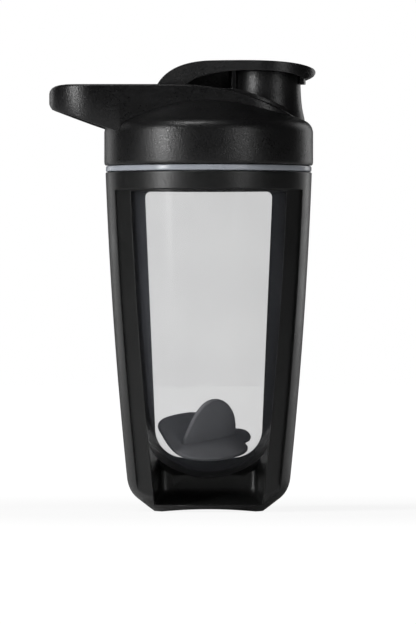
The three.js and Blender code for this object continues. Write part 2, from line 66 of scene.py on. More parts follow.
CUP_SETBACK = 4.9
CUP_GAP = 0.4
BOWL_RIM, BOWL_RADIUS, BOWL_DEPTH, BOWL_POWER = 52, 38.7, 36.0, 1.82
CUP_WALL, CUP_BOTTOM_WALL = 2.3, 3
FLANGE_BOTTOM, FLANGE_TOP, FLANGE_RADIUS = 167.1, 169.9, 50.7
NECK_RADIUS, NECK_INSIDE, NECK_TOP = 46.2, 43.9, 187.2
THREAD_LEAD, THREAD_STARTS, THREAD_TURN = 9, 2, 0.85
CUP_THREAD_LOW, CUP_THREAD_CREST = 174.4, 47.9
LID_THREAD_LOW, LID_THREAD_CREST = 176.65, 47.0

SKIRT_BOTTOM, SKIRT_RADIUS, SKIRT_INSIDE = 170.3, 51.5, 48.8
DOME_APEX, DOME_RADIUS, DOME_EDGE = 206, 88.2, 46.8
SEAT, LID_WALL = 189.6, 2.2
SPOUT_X, SPOUT_RADIUS, SPOUT_BORE, SPOUT_TOP = 28.8, 16.5, 14.1, 217
DECK_BACK, DECK_X, DECK_HALF, DECK_TOP, DECK_RISE = -8, 20, 23.9, 207.6, 1.6

LOOP_TOP, LOOP_HALF, LOOP_NOSE_X, LOOP_WALL = 209.6, 27.4, 20, 2.8
LOOP_BACK_X, LOOP_CORNER = -78.5, 21.4
LOOP_FALL_START, LOOP_FALL_RADIUS = -16, 118

HINGE_X, HINGE_Z, PIN_RADIUS, KNUCKLE = -20.5, 209, 1.5, 5.0
LUG_RADIUS, LUG_HALF, ARM_HALF = 4.2, 10.6, 15
CAP_RADIUS, CAP_PLATE, CAP_HIGHEST = 24.4, 2.3, 221.5
TAB_WALL, TAB_BOTTOM, TAB_TOP, TAB_HALF = 2.0, 210.2, 217.6, 6
WEB_BACK, WEB_FRONT, WEB_HALF, WEB_BOTTOM = -12, 10.6, 1.1, 208.0
COLLAR_HALF, COLLAR_TOP = 7.5, 219.6
PLUG_RADIUS, PLUG_WALL, PLUG_BOTTOM, PLUG_TOP, PLUG_BEVEL = 13.4, 1.8, 213, 218.7, 1.8
GASKET_INSIDE, GASKET_RADIUS, GASKET_BOTTOM, GASKET_TOP = 44.1, 47.6, 187.5, 189.3

PADDLE_THICK, PADDLE_SCALE, PADDLE_CENTRE = 2.2, 0.955, (0, 0, 34.8)
PADDLE_LONG = Vector((0.82, 0.55, 0.155)).normalized()
PADDLE_WIDE = Vector((-0.508, 0.609, 0.58))


def sleeve_radius(z):
    return 38.55 + 0.1103 * z - 0.000218 * z * z


def spread(low, high, steps):
    return [low + (high - low) * i / steps for i in range(steps + 1)]


def quadratic(a, b, c, steps):
    """Points of a quadratic curve from a to c, drawn towards b."""
    made = []
    for t in spread(0, 1, steps):
        u = 1 - t
        made.append(tuple(u * u * a[k] + 2 * u * t * b[k] + t * t * c[k] for k in range(2)))
    return made


def cubic(a, b, c, d, steps):
    made = []
    for t in spread(0, 1, steps):
        u = 1 - t
        made.append(
            tuple(u**3 * a[k] + 3 * u * u * t * b[k] + 3 * u * t * t * c[k] + t**3 * d[k] for k in range(2))
        )
    return made


def arc(cx, cy, radius, start, end, steps):
    """Points on a circle from one angle to another, in degrees."""
    turn = [math.radians(a) for a in spread(start, end, steps)]
    return [(cx + radius * math.cos(a), cy + radius * math.sin(a)) for a in turn]


# ---- Solids --------------------------------------------------------------------------------------------


def solid(name, points, faces):
    """A closed mesh object from points in millimetres, with its faces turned outwards."""
    mesh = bpy.data.meshes.new(name)
    mesh.from_pydata([Vector(p) * MM for p in points], [], faces)
    mesh.update()
    made = bpy.data.objects.new(name, mesh)
    bpy.context.scene.collection.objects.link(made)
    if signed_volume(mesh) < 0:
        mesh.flip_normals()
    return made


def signed_volume(mesh):
    mesh.calc_loop_triangles()
    total = 0.0
    for tri in mesh.loop_triangles:
        a, b, c = (mesh.vertices[i].co for i in tri.vertices)
        total += a.dot(b.cross(c))
    return total / 6


def revolve(name, profile, x=0, segments=TURN):
    """(radius, height) pairs turned about an upright axis. They start and end on the axis, or they close."""
    closed = profile[0][0] > 0
    points, rings = [], []
    for r, z in profile:
        if r == 0:
            rings.append([len(points)] * segments)
            points.append((x, 0, z))
            continue
        rings.append(list(range(len(points), len(points) + segments)))
        for s in range(segments):
            a = 2 * math.pi * s / segments
            points.append((x + r * math.cos(a), r * math.sin(a), z))
    pairs = list(zip(rings, rings[1:]))
    if closed:
        pairs.append((rings[-1], rings[0]))
    faces = []
    for low, high in pairs:
        for s in range(segments):
            t = (s + 1) % segments
            face = [low[s], low[t], high[t], high[s]]
            faces.append([v for k, v in enumerate(face) if v not in face[:k]])
    return solid(name, points, faces)


def loft(name, sections):
    """Skins closed sections of equal length, with a flat cap on the first and the last."""
    count = len(sections[0])
    points = [p for section in sections for p in section]
    faces = [list(range(count)), list(range(len(points) - count, len(points)))[::-1]]
    for s in range(len(sections) - 1):
        for k in range(count):
            a, b = s * count + k, s * count + (k + 1) % count
            faces.append([a, a + count, b + count, b])
    return solid(name, points, faces)


def upright(name, outline, low, high):
    """An outline of (x, y) pairs raised from one height to another."""
    return loft(name, [[(x, y, z) for x, y in outline] for z in (low, high)])


def across(name, outline, low, high):
    """An outline of (x, z) pairs drawn out from one y to another."""
    return loft(name, [[(x, y, z) for x, z in outline] for y in (low, high)])


def rod(name, x, z, radius, low, high, segments=64):
    return across(name, arc(x, z, radius, 0, 360 - 360 / segments, segments - 1), low, high)


def combine(base, operation, *tools):
    """Joins, cuts or intersects base with each tool, then removes the tools."""
    for tool in tools:
        step = base.modifiers.new("step", "BOOLEAN")
        step.operation = operation
        step.object = tool
        step.solver = "MANIFOLD"
        graph = bpy.context.evaluated_depsgraph_get()
        mesh = bpy.data.meshes.new_from_object(base.evaluated_get(graph))
        base.modifiers.clear()
        old, base.data = base.data, mesh
        bpy.data.meshes.remove(old)
        bpy.data.objects.remove(tool)
    return base


def cut(base, *tools):
    return combine(base, "DIFFERENCE", *tools)


def join(base, *tools):
    return combine(base, "UNION", *tools)


def common(base, *tools):
    return combine(base, "INTERSECT", *tools)


def finish_mesh(piece, name, sharp=32):
    """Names a piece, and shades it smooth except over edges sharper than an angle."""
    piece.name = name
    mesh = piece.data
    mesh.name = name
    mesh.shade_smooth()
    mesh.set_sharp_from_angle(angle=math.radians(sharp))
    return piece


# ---- Sleeve --------------------------------------------------------------------------------------------


def base_turn(steps):
    top = (sleeve_radius(SLEEVE_BEND), SLEEVE_BEND)
    return [(BASE_RADIUS, 0)] + quadratic((35.0, 6.2), (39.4, 9.6), top, steps)


def side_outline():
    """(radius, height) up the sleeve's outside, with a rounded top edge."""
    levels = spread(SLEEVE_BEND, 156, 28)[1:]
    levels += [157, 157.5, 157.8, 157.95, 158.02, 158.1, 158.25, 158.6, 159.2, 160.5, 162, 164, 165.6]
    low = [(26.9, 0.0), (27.6, 0.55), (29.6, 2.0), (31.6, 3.55), (33.6, 5.1)] + base_turn(12)[1:]
    brim = sleeve_radius(SLEEVE_TOP)
    top = [(sleeve_radius(166.2), 166.2), (brim - 0.15, 166.6), (brim - 0.55, SLEEVE_TOP)]
    return low + [(sleeve_radius(z), z) for z in levels] + top


def fillet(before, corner, after, radius, steps=5):
    """Rounds a corner between two neighbouring points."""
    b, c, a = Vector(before), Vector(corner), Vector(after)
    start = c + (b - c).normalized() * min(radius, 0.45 * (b - c).length)
    end = c + (a - c).normalized() * min(radius, 0.45 * (a - c).length)
    return quadratic(start, c, end, steps)


def sleeve_quarter(outer, z):
    """Section from the +X axis to the -Y axis: rail, step, flat strip and sunk panel."""
    radius = sleeve_radius(max(z, 0))
    core, edge = radius - PANEL_DEPTH, radius - PANEL_MARGIN
    rail_end = math.degrees(math.acos(min(edge / outer, math.cos(0.22))))
    rail = arc(0, 0, outer, 0, -rail_end, 14)
    tip = Vector(rail[-1])
    foot = Vector((edge, PANEL_STEP - math.sqrt(radius**2 - edge**2)))
    bend = Vector((edge - PANEL_FLAT, -math.sqrt(core**2 - (edge - PANEL_FLAT) ** 2)))
    sunk = quadratic(tip.lerp(foot, 0.42), foot, foot.lerp(bend, 0.24), 10)
    sunk += [tuple(foot.lerp(bend, s)) for s in spread(0.24, 1, 10)[1:]]
    sunk += arc(0, 0, core, math.degrees(math.atan2(bend.y, bend.x)), -90, 44)[1:]
    inside = []
    for x, y in sunk:
        shrink = min(1, outer / math.hypot(x, y))
        inside.append((x * shrink, y * shrink))
    step = (tip - Vector(inside[0])).length
    inside = fillet(rail[-2], tip, inside[0], min(0.8, 0.7 * step), 6) + inside
    flush = arc(0, 0, outer, -rail_end - 0.02, -90, len(inside) - 1)
    share = min(1, max(0, (PANEL_END - z) / PANEL_FADE))
    share = share * share * (3 - 2 * share)
    return rail[:-1] + [tuple(Vector(f).lerp(Vector(i), share)) for f, i in zip(flush, inside)]


def sleeve_section(outer, z):
    q = sleeve_quarter(outer, z)
    right = q + [(-x, y) for x, y in q[-2::-1]]
    left = [(-x, -y) for x, y in right[1:-1]]
    return [(x, y, z) for x, y in right + left]


def bowl(radius, depth, steps=30):
    made = []
    for t in spread(0, math.pi / 2, steps):
        s, c = max(math.sin(t), 0), max(math.cos(t), 0)
        if t == math.pi / 2:
            c = 0
        made.append((radius * s ** (2 / BOWL_POWER), BOWL_RIM - depth * c ** (2 / BOWL_POWER)))
    made[0] = (0, made[0][1])
    return made


def margin_outline(margin, low, high):
    right = [(sleeve_radius(max(z, 0)) - margin, z) for z in spread(low, high, 40)]
    return right + [(-x, z) for x, z in reversed(right)]


def window_outline():
    top, low = WINDOW_TOP, WINDOW_BOTTOM
    wide, foot, turn = WINDOW_HALF_TOP, WINDOW_HALF_BOTTOM, WINDOW_BOTTOM_CORNER
    right = arc(foot - turn, low + turn, turn, -90, 0, 24)
    right += arc(wide - WINDOW_TOP_CORNER, top - WINDOW_TOP_CORNER, WINDOW_TOP_CORNER, 0, 90, 10)
    return right + [(-x, z) for x, z in reversed(right)]


def pocket_tool():
    """The hollow under the cup: wide at its mouth, narrow and rounded at its back wall."""
    sections = []
    fall = [(0.0, 0.0), (0.25, 0.04), (0.5, 0.15), (0.75, 0.34), (0.9, 0.56), (0.97, 0.78), (1.0, 1.0)]
    levels = [(y, 0.0) for y in spread(POCKET_MOUTH - 30, POCKET_BACK - 3.0, 12)]
    levels += [(POCKET_BACK - 3.0 + 3.0 * a, 3.0 * b) for a, b in fall[1:]]
    for y, inset in levels:
        share = min(1, max(0, (y - POCKET_MOUTH) / (POCKET_BACK - POCKET_MOUTH)))
        low = FLOOR + (POCKET_BACK_FLOOR - FLOOR) * share + inset
        corner = 1.0 + 3.0 * share
        right = []
        for z in (low, 20, 36, BOWL_RIM):
            mouth = sleeve_radius(z) - OPENING_MARGIN
            back = POCKET_BACK_HALF + (z - POCKET_BACK_FLOOR) / (BOWL_RIM - POCKET_BACK_FLOOR)
            right.append((mouth + (back - mouth) * share - inset, z))
        turn = quadratic((right[0][0] - corner, low), right[0], (right[0][0] + 0.02 * corner, low + corner), 6)
        outline = turn + right[1:]
        outline += [(-x, z) for x, z in reversed(outline)]
        sections.append([(x, y, z) for x, z in outline])
    return loft("pocket", sections)


def outer_sleeve():
    body = loft("sleeve", [sleeve_section(r, z) for r, z in side_outline()])
    radius, depth = BOWL_RADIUS + CUP_GAP, BOWL_DEPTH + CUP_GAP
    walls = [(sleeve_radius(z) - CUP_SETBACK + CUP_GAP, z) for z in spread(BOWL_RIM, 168, 24)[1:]]
    cavity = revolve("cavity", bowl(radius, depth) + walls + [(0, 168)])
    opening = across("opening", margin_outline(OPENING_MARGIN, FLOOR, OPENING_TOP), -60, POCKET_MOUTH)
    socket = arc(0, CRADLE_CENTRE, CRADLE_RADIUS, -90, 0, 40)
    socket = [(0, socket[0][1])] + socket[1:] + [(CRADLE_RADIUS, 60), (0, 60)]
    slant = [(CRADLE_FRONT + CRADLE_SLANT, 10), (CRADLE_FRONT, 28), (CRADLE_FRONT, 70), (60, 70), (60, 0)]
    behind = loft("behind", [[(x, y, z) for y, z in slant] for x in (-60, 60)])
    ball = common(revolve("ball", socket), behind)
    pocket = cut(pocket_tool(), ball)
    window = across("window", window_outline(), 0, 60)
    round_radius = (ARCH_HALF**2 + ARCH_LIFT**2) / (2 * ARCH_LIFT)
    reach = math.degrees(math.asin(ARCH_HALF / round_radius))
    hump = arc(0, ARCH_LIFT - round_radius, round_radius, 90 - reach, 90 + reach, 32)
    arch = across("arch", [(ARCH_HALF, -2)] + hump + [(-ARCH_HALF, -2)], -60, 60)
    return finish_mesh(cut(body, cavity, opening, pocket, window, arch), "grip_sleeve")


# ---- Cup -----------------------------------------------------------------------------------------------


def thread_ridge(name, root, crest, low, start):
    """One thread start: a trapezoid swept up a helix, tapered to its root at both ends."""
    sections = []
    for share in spread(0, 1, 110):
        a = start + share * THREAD_TURN * 2 * math.pi
        z = low + share * THREAD_TURN * THREAD_LEAD
        fade = min(1, share * 8, (1 - share) * 8)
        tip = root + (crest - root) * (0.15 + 0.85 * fade)
        half = [(root, -1.0), (tip, -0.5), (tip, 0.5), (root, 1.0)]
        sections.append([(r * math.cos(a), r * math.sin(a), z + dz) for r, dz in half])
    return loft(name, sections)


def with_thread(body, root, crest, low):
    for start in range(THREAD_STARTS):
        body = join(body, thread_ridge("ridge", root, crest, low, start * 2 * math.pi / THREAD_STARTS))
    return body


def clear_cup():
    levels = spread(BOWL_RIM, FLANGE_BOTTOM - 2, 28)[1:]
    outside = bowl(BOWL_RADIUS, BOWL_DEPTH) + [(sleeve_radius(z) - CUP_SETBACK, z) for z in levels]
    outside += [(NECK_RADIUS, FLANGE_BOTTOM)]
    rim, low, high = FLANGE_RADIUS, FLANGE_BOTTOM, FLANGE_TOP
    outside += quadratic((rim - 0.8, low), (rim, low), (rim, low + 0.8), 4)
    outside += quadratic((rim, high - 0.8), (rim, high), (rim - 0.8, high), 4)
    outside += [(NECK_RADIUS, FLANGE_TOP), (NECK_RADIUS, NECK_TOP - 0.6)]
    neck, top = NECK_RADIUS, NECK_TOP
    outside += quadratic((neck, top - 0.6), (neck, top), (neck - 0.6, top), 4)[1:]
    inside = bowl(BOWL_RADIUS - CUP_WALL, BOWL_DEPTH - CUP_BOTTOM_WALL)
    inside += [(min(sleeve_radius(z) - CUP_SETBACK - CUP_WALL, NECK_INSIDE), z) for z in levels]
    inside += [(NECK_INSIDE, NECK_TOP)]
    body = revolve("cup", outside + inside[::-1])
    cup = with_thread(body, NECK_RADIUS - 0.5, CUP_THREAD_CREST, CUP_THREAD_LOW)
    return finish_mesh(cup, "smoked_cup")


# ---- Lid -----------------------------------------------------------------------------------------------


def dome_height(r):
    return DOME_APEX - DOME_RADIUS + math.sqrt(DOME_RADIUS**2 - r * r)


def rim_height(x):
    past = max(0, x - LOOP_FALL_START)
    return LOOP_TOP - LOOP_FALL_RADIUS + math.sqrt(LOOP_FALL_RADIUS**2 - past * past)


def lid_profile(grow=0):
    dome = [(r, dome_height(r) + grow) for r in spread(0, DOME_EDGE, 30)]
    corner = quadratic(
        (DOME_EDGE, dome_height(DOME_EDGE) + grow),
        (SKIRT_RADIUS - 0.6 + grow, 191 + grow),
        (SKIRT_RADIUS + grow, 186.6),
        14,
    )
    return dome + corner[1:]


def deck_outline(inset=0):
    half, back = DECK_HALF - inset, DECK_BACK + inset
    nose = arc(DECK_X, 0, half, -90, 90, 72)
    return [(back, -half)] + nose + [(back, half)]


def deck_side(name, lower=0):
    far, near = DECK_X + DECK_HALF + 1, DECK_BACK - 1
    line = [(x, min(DECK_TOP, rim_height(x) + DECK_RISE) - lower) for x in spread(far, near, 60)]
    return across(name, [(near, 185), (far, 185)] + line, -30, 30)


def hinge_lug():
    side = [(HINGE_X - 1.2, 198), (HINGE_X + LUG_RADIUS, 198)]
    side += arc(HINGE_X, HINGE_Z, LUG_RADIUS, 0, 255.6, 48)
    return across("lug", side, -LUG_HALF, LUG_HALF)


def lid_shell():
    outside = lid_profile() + [(SKIRT_RADIUS, 172.0), (51.42, 171.2), (51.25, 170.6)]
    outside += [(50.9, SKIRT_BOTTOM), (0, SKIRT_BOTTOM)]
    hollow = [(0, SKIRT_BOTTOM - 1), (SKIRT_INSIDE, SKIRT_BOTTOM - 1)]
    hollow += [(SKIRT_INSIDE, SEAT), (GASKET_INSIDE - 0.6, SEAT)]
    hollow += [(r, dome_height(r) - LID_WALL) for r in spread(GASKET_INSIDE - 0.6, 0, 24)]
    deck = common(upright("deck", deck_outline(), 190, 215), deck_side("deck_side"))
    under = common(upright("under", deck_outline(LID_WALL), 190, 215), deck_side("under_side", LID_WALL))
    keep = [(GASKET_INSIDE, 185), (60, 185), (60, 230), (GASKET_INSIDE, 230)]
    under = cut(under, revolve("keep", keep))
    rim, top = SPOUT_RADIUS, SPOUT_TOP
    lip = quadratic((rim, top - 0.8), (rim, top), (rim - 0.8, top), 4)
    flare = [(18.8, 190), (18.4, 193.5), (17.8, 196.0), (17.3, 198.6)]
    flare += [(16.95, 201.6), (16.7, 205), (SPOUT_RADIUS, 209)]
    spout = revolve("spout", [(0, 190)] + flare + lip + [(0, SPOUT_TOP)], x=SPOUT_X)
    bore = [(0, 188), (SPOUT_BORE, 188), (SPOUT_BORE, SPOUT_TOP + 1), (0, SPOUT_TOP + 1)]
    way = revolve("way", bore, x=SPOUT_X)
    relief = rod("relief", HINGE_X, HINGE_Z, KNUCKLE + 1.0, -ARM_HALF - 1, ARM_HALF + 1)
    lug = cut(hinge_lug(), revolve("lug_trim", hollow))
    shell = cut(revolve("shell", outside), relief)
    shell = join(shell, deck, spout, lug)
    shell = cut(shell, revolve("hollow", hollow), under, way)
    shell = cut(shell, rod("pin_way", HINGE_X, HINGE_Z, PIN_RADIUS + 0.05, -20, 20))
    shell = with_thread(shell, SKIRT_INSIDE + 0.5, LID_THREAD_CREST, LID_THREAD_LOW)
    return finish_mesh(shell, "screw_lid")


def loop_plan():
    """(x, y, outward normal) round the loop's outside, one side mirrored onto the other."""
    turn_x = LOOP_BACK_X + LOOP_CORNER
    turn_y = LOOP_HALF - LOOP_CORNER
    side = arc(LOOP_NOSE_X, 0, LOOP_HALF, 0, 90, 60)
    side += [(x, LOOP_HALF) for x in spread(LOOP_NOSE_X, turn_x, 60)[1:]]
    side += arc(turn_x, turn_y, LOOP_CORNER, 90, 180, 44)[1:]
    side += [(LOOP_BACK_X, y) for y in spread(turn_y, 0, 6)[1:]]
    full = side + [(x, -y) for x, y in side[-2:0:-1]]
    normals = []
    for k, p in enumerate(full):
        along = Vector(full[(k + 1) % len(full)]) - Vector(full[k - 1])
        normals.append(Vector((along.y, -along.x)).normalized())
    return full, normals


def loop_top(x):
    back = [(-78.5, 206.4), (-78.2, 207.3), (-77.3, 208.25), (-76, 208.85), (-74, 209.3), (-70.5, 209.6)]
    if x <= back[-1][0]:
        return float(np.interp(x, [p[0] for p in back], [p[1] for p in back]))
    return rim_height(x)


def loop_bottom(x):
    line = [(-78.5, 198.9), (-77.9, 197.8), (-76.5, 197.2), (-44, 186.1), (-40, 184)]
    return float(np.interp(x, [p[0] for p in line], [p[1] for p in line]))


def carry_loop():
    plan, normals = loop_plan()
    sections = []
    turn = [(0.0, 1.1), (0.09, 0.68), (0.35, 0.32), (0.7, 0.09), (1.1, 0.0)]
    for (x, y), n in zip(plan, normals):
        edge = loop_top(x)
        foot = loop_bottom(x)
        outside = [(1.2, foot), (0.45, foot + 0.25), (0.0, foot + 1.3)] + [(a, edge - b) for a, b in turn]
        inside = [(LOOP_WALL - a, edge - b) for a, b in reversed(turn)]
        inside += [(LOOP_WALL, foot + 0.5), (LOOP_WALL - 0.5, foot)]
        sections.append([(x - n.x * d, y - n.y * d, z) for d, z in outside + inside])
    count = len(sections[0])
    points = [p for section in sections for p in section]
    faces = []
    for s in range(len(sections)):
        t = (s + 1) % len(sections)
        for k in range(count):
            m = (k + 1) % count
            faces.append([s * count + k, t * count + k, t * count + m, s * count + m])
    band = solid("band", points, faces)
    space = [(0, 160)] + [(SKIRT_RADIUS - 0.1, 160)] + lid_profile(-0.1)[::-1]
    return finish_mesh(cut(band, revolve("lid_space", space)), "carry_loop_band")


# ---- Flip cap ------------------------------------------------------------------------------------------


def cap_outline(inset=0):
    radius, half = CAP_RADIUS - inset, ARM_HALF - inset
    lean = math.degrees(math.asin((radius - half) / (SPOUT_X - HINGE_X + 6)))
    nose = arc(SPOUT_X, 0, radius, -90 - lean, 90 + lean, 110)
    return [(HINGE_X - 7, -half)] + nose + [(HINGE_X - 7, half)]


def cap_top(lower=0):
    back = cubic(
        (-25.2 + lower, 210.0),
        (-22.0 + lower, 215.2 - lower / 2),
        (-15.6 + lower / 2, 220.8 - lower),
        (0, 221.4 - lower),
        26,
    )
    nose = cubic((0, 221.4 - lower), (24, 221.8 - lower), (45, 221.3 - lower), (51.6, 217.6 - lower), 34)
    return [(x, min(z, CAP_HIGHEST - lower)) for x, z in back + nose[1:]]


def cap_side():
    side = cap_top() + [(52.25, 217.0), (52.6, 216.2), (52.5, 215.2), (51.8, 214.3)]
    side += [(50.4, 213.4), (48.4, 212.6), (46.6, 212.4)]
    side += quadratic((46.6, 212.4), (43, 216.4), (20, 216.6), 18)[1:]
    side += quadratic((20, 216.6), (2, 216.2), (-6, 212.8), 18)[1:]
    side += quadratic((-6, 212.8), (-11, 210.4), (-13.6, 206.6), 12)[1:]
    side += arc(HINGE_X, HINGE_Z, KNUCKLE, math.degrees(-0.4), -171, 30)
    return across("cap_side", side, -30, 30)


def block(name, x0, x1, half, low, high):
    return upright(name, [(x0, -half), (x1, -half), (x1, half), (x0, half)], low, high)


def flip_cap():
    way = SPOUT_RADIUS + 0.5
    under = cap_top(CAP_PLATE)
    hollow_side = [(HINGE_X - 8, 195), (60, 195), (60, under[-1][1])] + under[::-1]
    plan = upright("plan", cap_outline(LID_WALL + 0.2), 190, 230)
    hollow = common(across("hollow", hollow_side, -30, 30), plan)
    arms = common(across("arms", hollow_side, -30, 30), block("arm_box", -40, -12, 30, 190, 230))
    arms = cut(arms, block("arm_gap", -41, -11, 11, 189, 231))
    hollow = cut(hollow, arms)
    outer = way + TAB_WALL
    tab = revolve("tab", [(0, TAB_BOTTOM), (outer, TAB_BOTTOM), (outer, TAB_TOP), (0, TAB_TOP)], x=SPOUT_X)
    tab = common(tab, block("tab_box", 40, 60, TAB_HALF, 200, 225))
    room = cap_top(1)
    room = [(HINGE_X - 8, 195), (60, 195), (60, room[-1][1])] + room[::-1]
    web = block("web", WEB_BACK, WEB_FRONT, WEB_HALF, WEB_BOTTOM, 230)
    web = common(web, across("web_room", room, -30, 30))
    cap = common(upright("cap", cap_outline(), 190, 230), cap_side())
    cap = cut(cap, hollow, block("beside_lug", -40, -8, 11, 190, 212.6))
    ring = [(0, WEB_BOTTOM), (outer, WEB_BOTTOM), (outer, COLLAR_TOP), (0, COLLAR_TOP)]
    collar = revolve("collar", ring, x=SPOUT_X)
    collar = common(collar, block("collar_box", 5, 16, COLLAR_HALF, 200, 225))
    cap = join(cap, tab, web, collar)
    cap = cut(cap, revolve("spout_room", [(0, 195), (way, 195), (way, 219), (0, 219)], x=SPOUT_X))
    cap = cut(cap, rod("cap_pin_way", HINGE_X, HINGE_Z, PIN_RADIUS + 0.05, -13.6, 13.6))
    cap = cut(cap, rod("lug_room", HINGE_X, HINGE_Z, LUG_RADIUS + CUP_GAP, -11, 11))
    return finish_mesh(cap, "flip_top")


def spout_plug():
    inner = PLUG_RADIUS - PLUG_WALL
    profile = [(0, PLUG_BOTTOM), (PLUG_RADIUS - PLUG_BEVEL, PLUG_BOTTOM)]
    start, end = (PLUG_RADIUS - PLUG_BEVEL, PLUG_BOTTOM), (PLUG_RADIUS, PLUG_BOTTOM + PLUG_BEVEL)
    profile += quadratic(start, (PLUG_RADIUS, PLUG_BOTTOM + 0.2), end, 6)[1:]
    profile += [(PLUG_RADIUS, PLUG_TOP), (inner, PLUG_TOP)]
    profile += [(inner, PLUG_BOTTOM + PLUG_WALL), (0, PLUG_BOTTOM + PLUG_WALL)]
    return finish_mesh(revolve("plug", profile, x=SPOUT_X, segments=96), "spout_stopper")


def hinge_pin():
    sections = []
    for y, radius in [(-13.2, 1.1), (-12.9, 1.42), (-12.6, 1.5), (12.6, 1.5), (12.9, 1.42), (13.2, 1.1)]:
        ring = arc(HINGE_X, HINGE_Z, radius, 0, 352.5, 47)
        sections.append([(x, y, z) for x, z in ring])
    return finish_mesh(loft("pin", sections), "steel_pin")


def lid_gasket():
    r0, r1, low, high = GASKET_INSIDE, GASKET_RADIUS, GASKET_BOTTOM, GASKET_TOP
    ring = fillet((r0, high), (r0, low), (r1, low), 0.5) + fillet((r0, low), (r1, low), (r1, high), 0.5)
    ring += fillet((r1, low), (r1, high), (r0, high), 0.5) + fillet((r1, high), (r0, high), (r0, low), 0.5)
    return finish_mesh(revolve("gasket", ring), "lid_seal_ring")


# ---- Paddle --------------------------------------------------------------------------------------------


def plate_outline():
    made = quadratic((24.6, -1), (24.2, 3.1), (19, 4.1), 14)
    made += cubic((19, 4.1), (16.5, 15), (9, 22.4), (0, 23), 24)[1:]
    made += cubic((0, 23), (-12, 23.6), (-21, 23), (-22, 13), 24)[1:]
    made += cubic((-22, 13), (-24.4, 1), (-25.2, -5), (-19.5, -10), 24)[1:]
    made += cubic((-19.5, -10), (-12, -15.6), (0, -16.6), (9, -15.6), 24)[1:]
    made += cubic((9, -15.6), (16.2, -14.6), (19, -11.4), (17.2, -7), 18)[1:]
    return made + quadratic((17.2, -7), (24.6, -6.9), (24.6, -1), 14)[1:-1]


def fin_outline():
    made = cubic((-17, 0), (-16, 14), (-13.8, 27.6), (-5.2, 27.6), 30)
    made += cubic((-5.2, 27.6), (4.8, 27.6), (15, 14), (16, 0), 30)[1:]
    made += cubic((16, 0), (12, -7), (6, -10.5), (-1, -10.5), 20)[1:]
    return made + cubic((-1, -10.5), (-9, -10.5), (-15, -6), (-17, 0), 20)[1:-1]


def rounded_slab(name, outline, thick, radius):
    """An outline thickened both ways, with its edges rounded."""
    count = len(outline)
    inward = []
    for k in range(count):
        along = Vector(outline[(k + 1) % count]) - Vector(outline[k - 1])
        inward.append(Vector((-along.y, along.x)).normalized())
    area = sum(outline[k - 1][0] * outline[k][1] - outline[k][0] * outline[k - 1][1] for k in range(count))
    side = 1 if area > 0 else -1
    turn = [math.radians(a) for a in spread(0, 90, 5)]
    levels = [(radius * (1 - math.sin(a)), thick / 2 - radius + radius * math.cos(a)) for a in turn]
    rings = [(inset, -height) for inset, height in levels]
    rings += [(inset, height) for inset, height in reversed(levels)]
    sections = []
    for inset, height in rings:
        sections.append(
            [(x + side * n.x * inset, y + side * n.y * inset, height) for (x, y), n in zip(outline, inward)]
        )
    return loft(name, sections)


def mixing_paddle():
    scaled = lambda outline: [(x * PADDLE_SCALE, y * PADDLE_SCALE) for x, y in outline]
    plate = rounded_slab("plate", scaled(plate_outline()), PADDLE_THICK, 0.95)
    fin = rounded_slab("fin", scaled(fin_outline()), PADDLE_THICK, 0.95)
    fin.data.transform(Matrix.Rotation(math.pi / 2, 4, "X"))
    up = PADDLE_LONG.cross(PADDLE_WIDE).normalized()
    wide = up.cross(PADDLE_LONG)
    place = Matrix((PADDLE_LONG, wide, up)).transposed().to_4x4()
    place.translation = Vector(PADDLE_CENTRE) * MM
    whole = join(plate, fin)
    whole.data.transform(place)
    return finish_mesh(whole, "crossed_paddle", 50)


# ---- Materials -----------------------------------------------------------------------------------------


class Nodes:
    """Short names for the nodes that the materials share."""

    def __init__(self, name):
        self.material = bpy.data.materials.new(name)
        self.material.use_nodes = True
        self.tree = self.material.node_tree
        self.shader = self.tree.nodes["Principled BSDF"]
        self.output = self.tree.nodes["Material Output"]
        self.place = self.add("ShaderNodeTexCoord").outputs["Object"]

    def add(self, kind, **values):
        node = self.tree.nodes.new(kind)
        for key, value in values.items():
            setattr(node, key, value)
        return node

    def link(self, a, b):
        self.tree.links.new(a, b)

    def noise(self, scale, detail=2.0, rough=0.5):
        node = self.add("ShaderNodeTexNoise")
        node.inputs["Scale"].default_value = scale
        node.inputs["Detail"].default_value = detail
        node.inputs["Roughness"].default_value = rough
        self.link(self.place, node.inputs["Vector"])
        return node.outputs["Fac"]

    def ramp(self, value, low, high, out_low, out_high):
        node = self.add("ShaderNodeMapRange")
        for key, number in (("From Min", low), ("From Max", high), ("To Min", out_low), ("To Max", out_high)):
            node.inputs[key].default_value = number
        self.link(value, node.inputs["Value"])
        return node.outputs["Result"]

    def math(self, operation, a, b):
        node = self.add("ShaderNodeMath", operation=operation)
        for socket, value in zip(node.inputs, (a, b)):
            if isinstance(value, (int, float)):
                socket.default_value = value
            else:
                self.link(value, socket)
        return node.outputs["Value"]

    def mix(self, share, a, b):
        node = self.add("ShaderNodeMix", data_type="RGBA")
        self.link(share, node.inputs["Factor"])
        for socket, value in ((node.inputs[6], a), (node.inputs[7], b)):
            if isinstance(value, tuple):
                socket.default_value = (*value, 1)
            else:
                self.link(value, socket)
        return node.outputs[2]

    def bump(self, height, strength, distance, edge=None):
        node = self.add("ShaderNodeBump")
        node.inputs["Strength"].default_value = strength
        node.inputs["Distance"].default_value = distance
        self.link(height, node.inputs["Height"])
        if edge:
            soft = self.add("ShaderNodeBevel", samples=4)
            soft.inputs["Radius"].default_value = edge
            self.link(soft.outputs["Normal"], node.inputs["Normal"])
        self.link(node.outputs["Normal"], self.shader.inputs["Normal"])
        return node.outputs["Normal"]


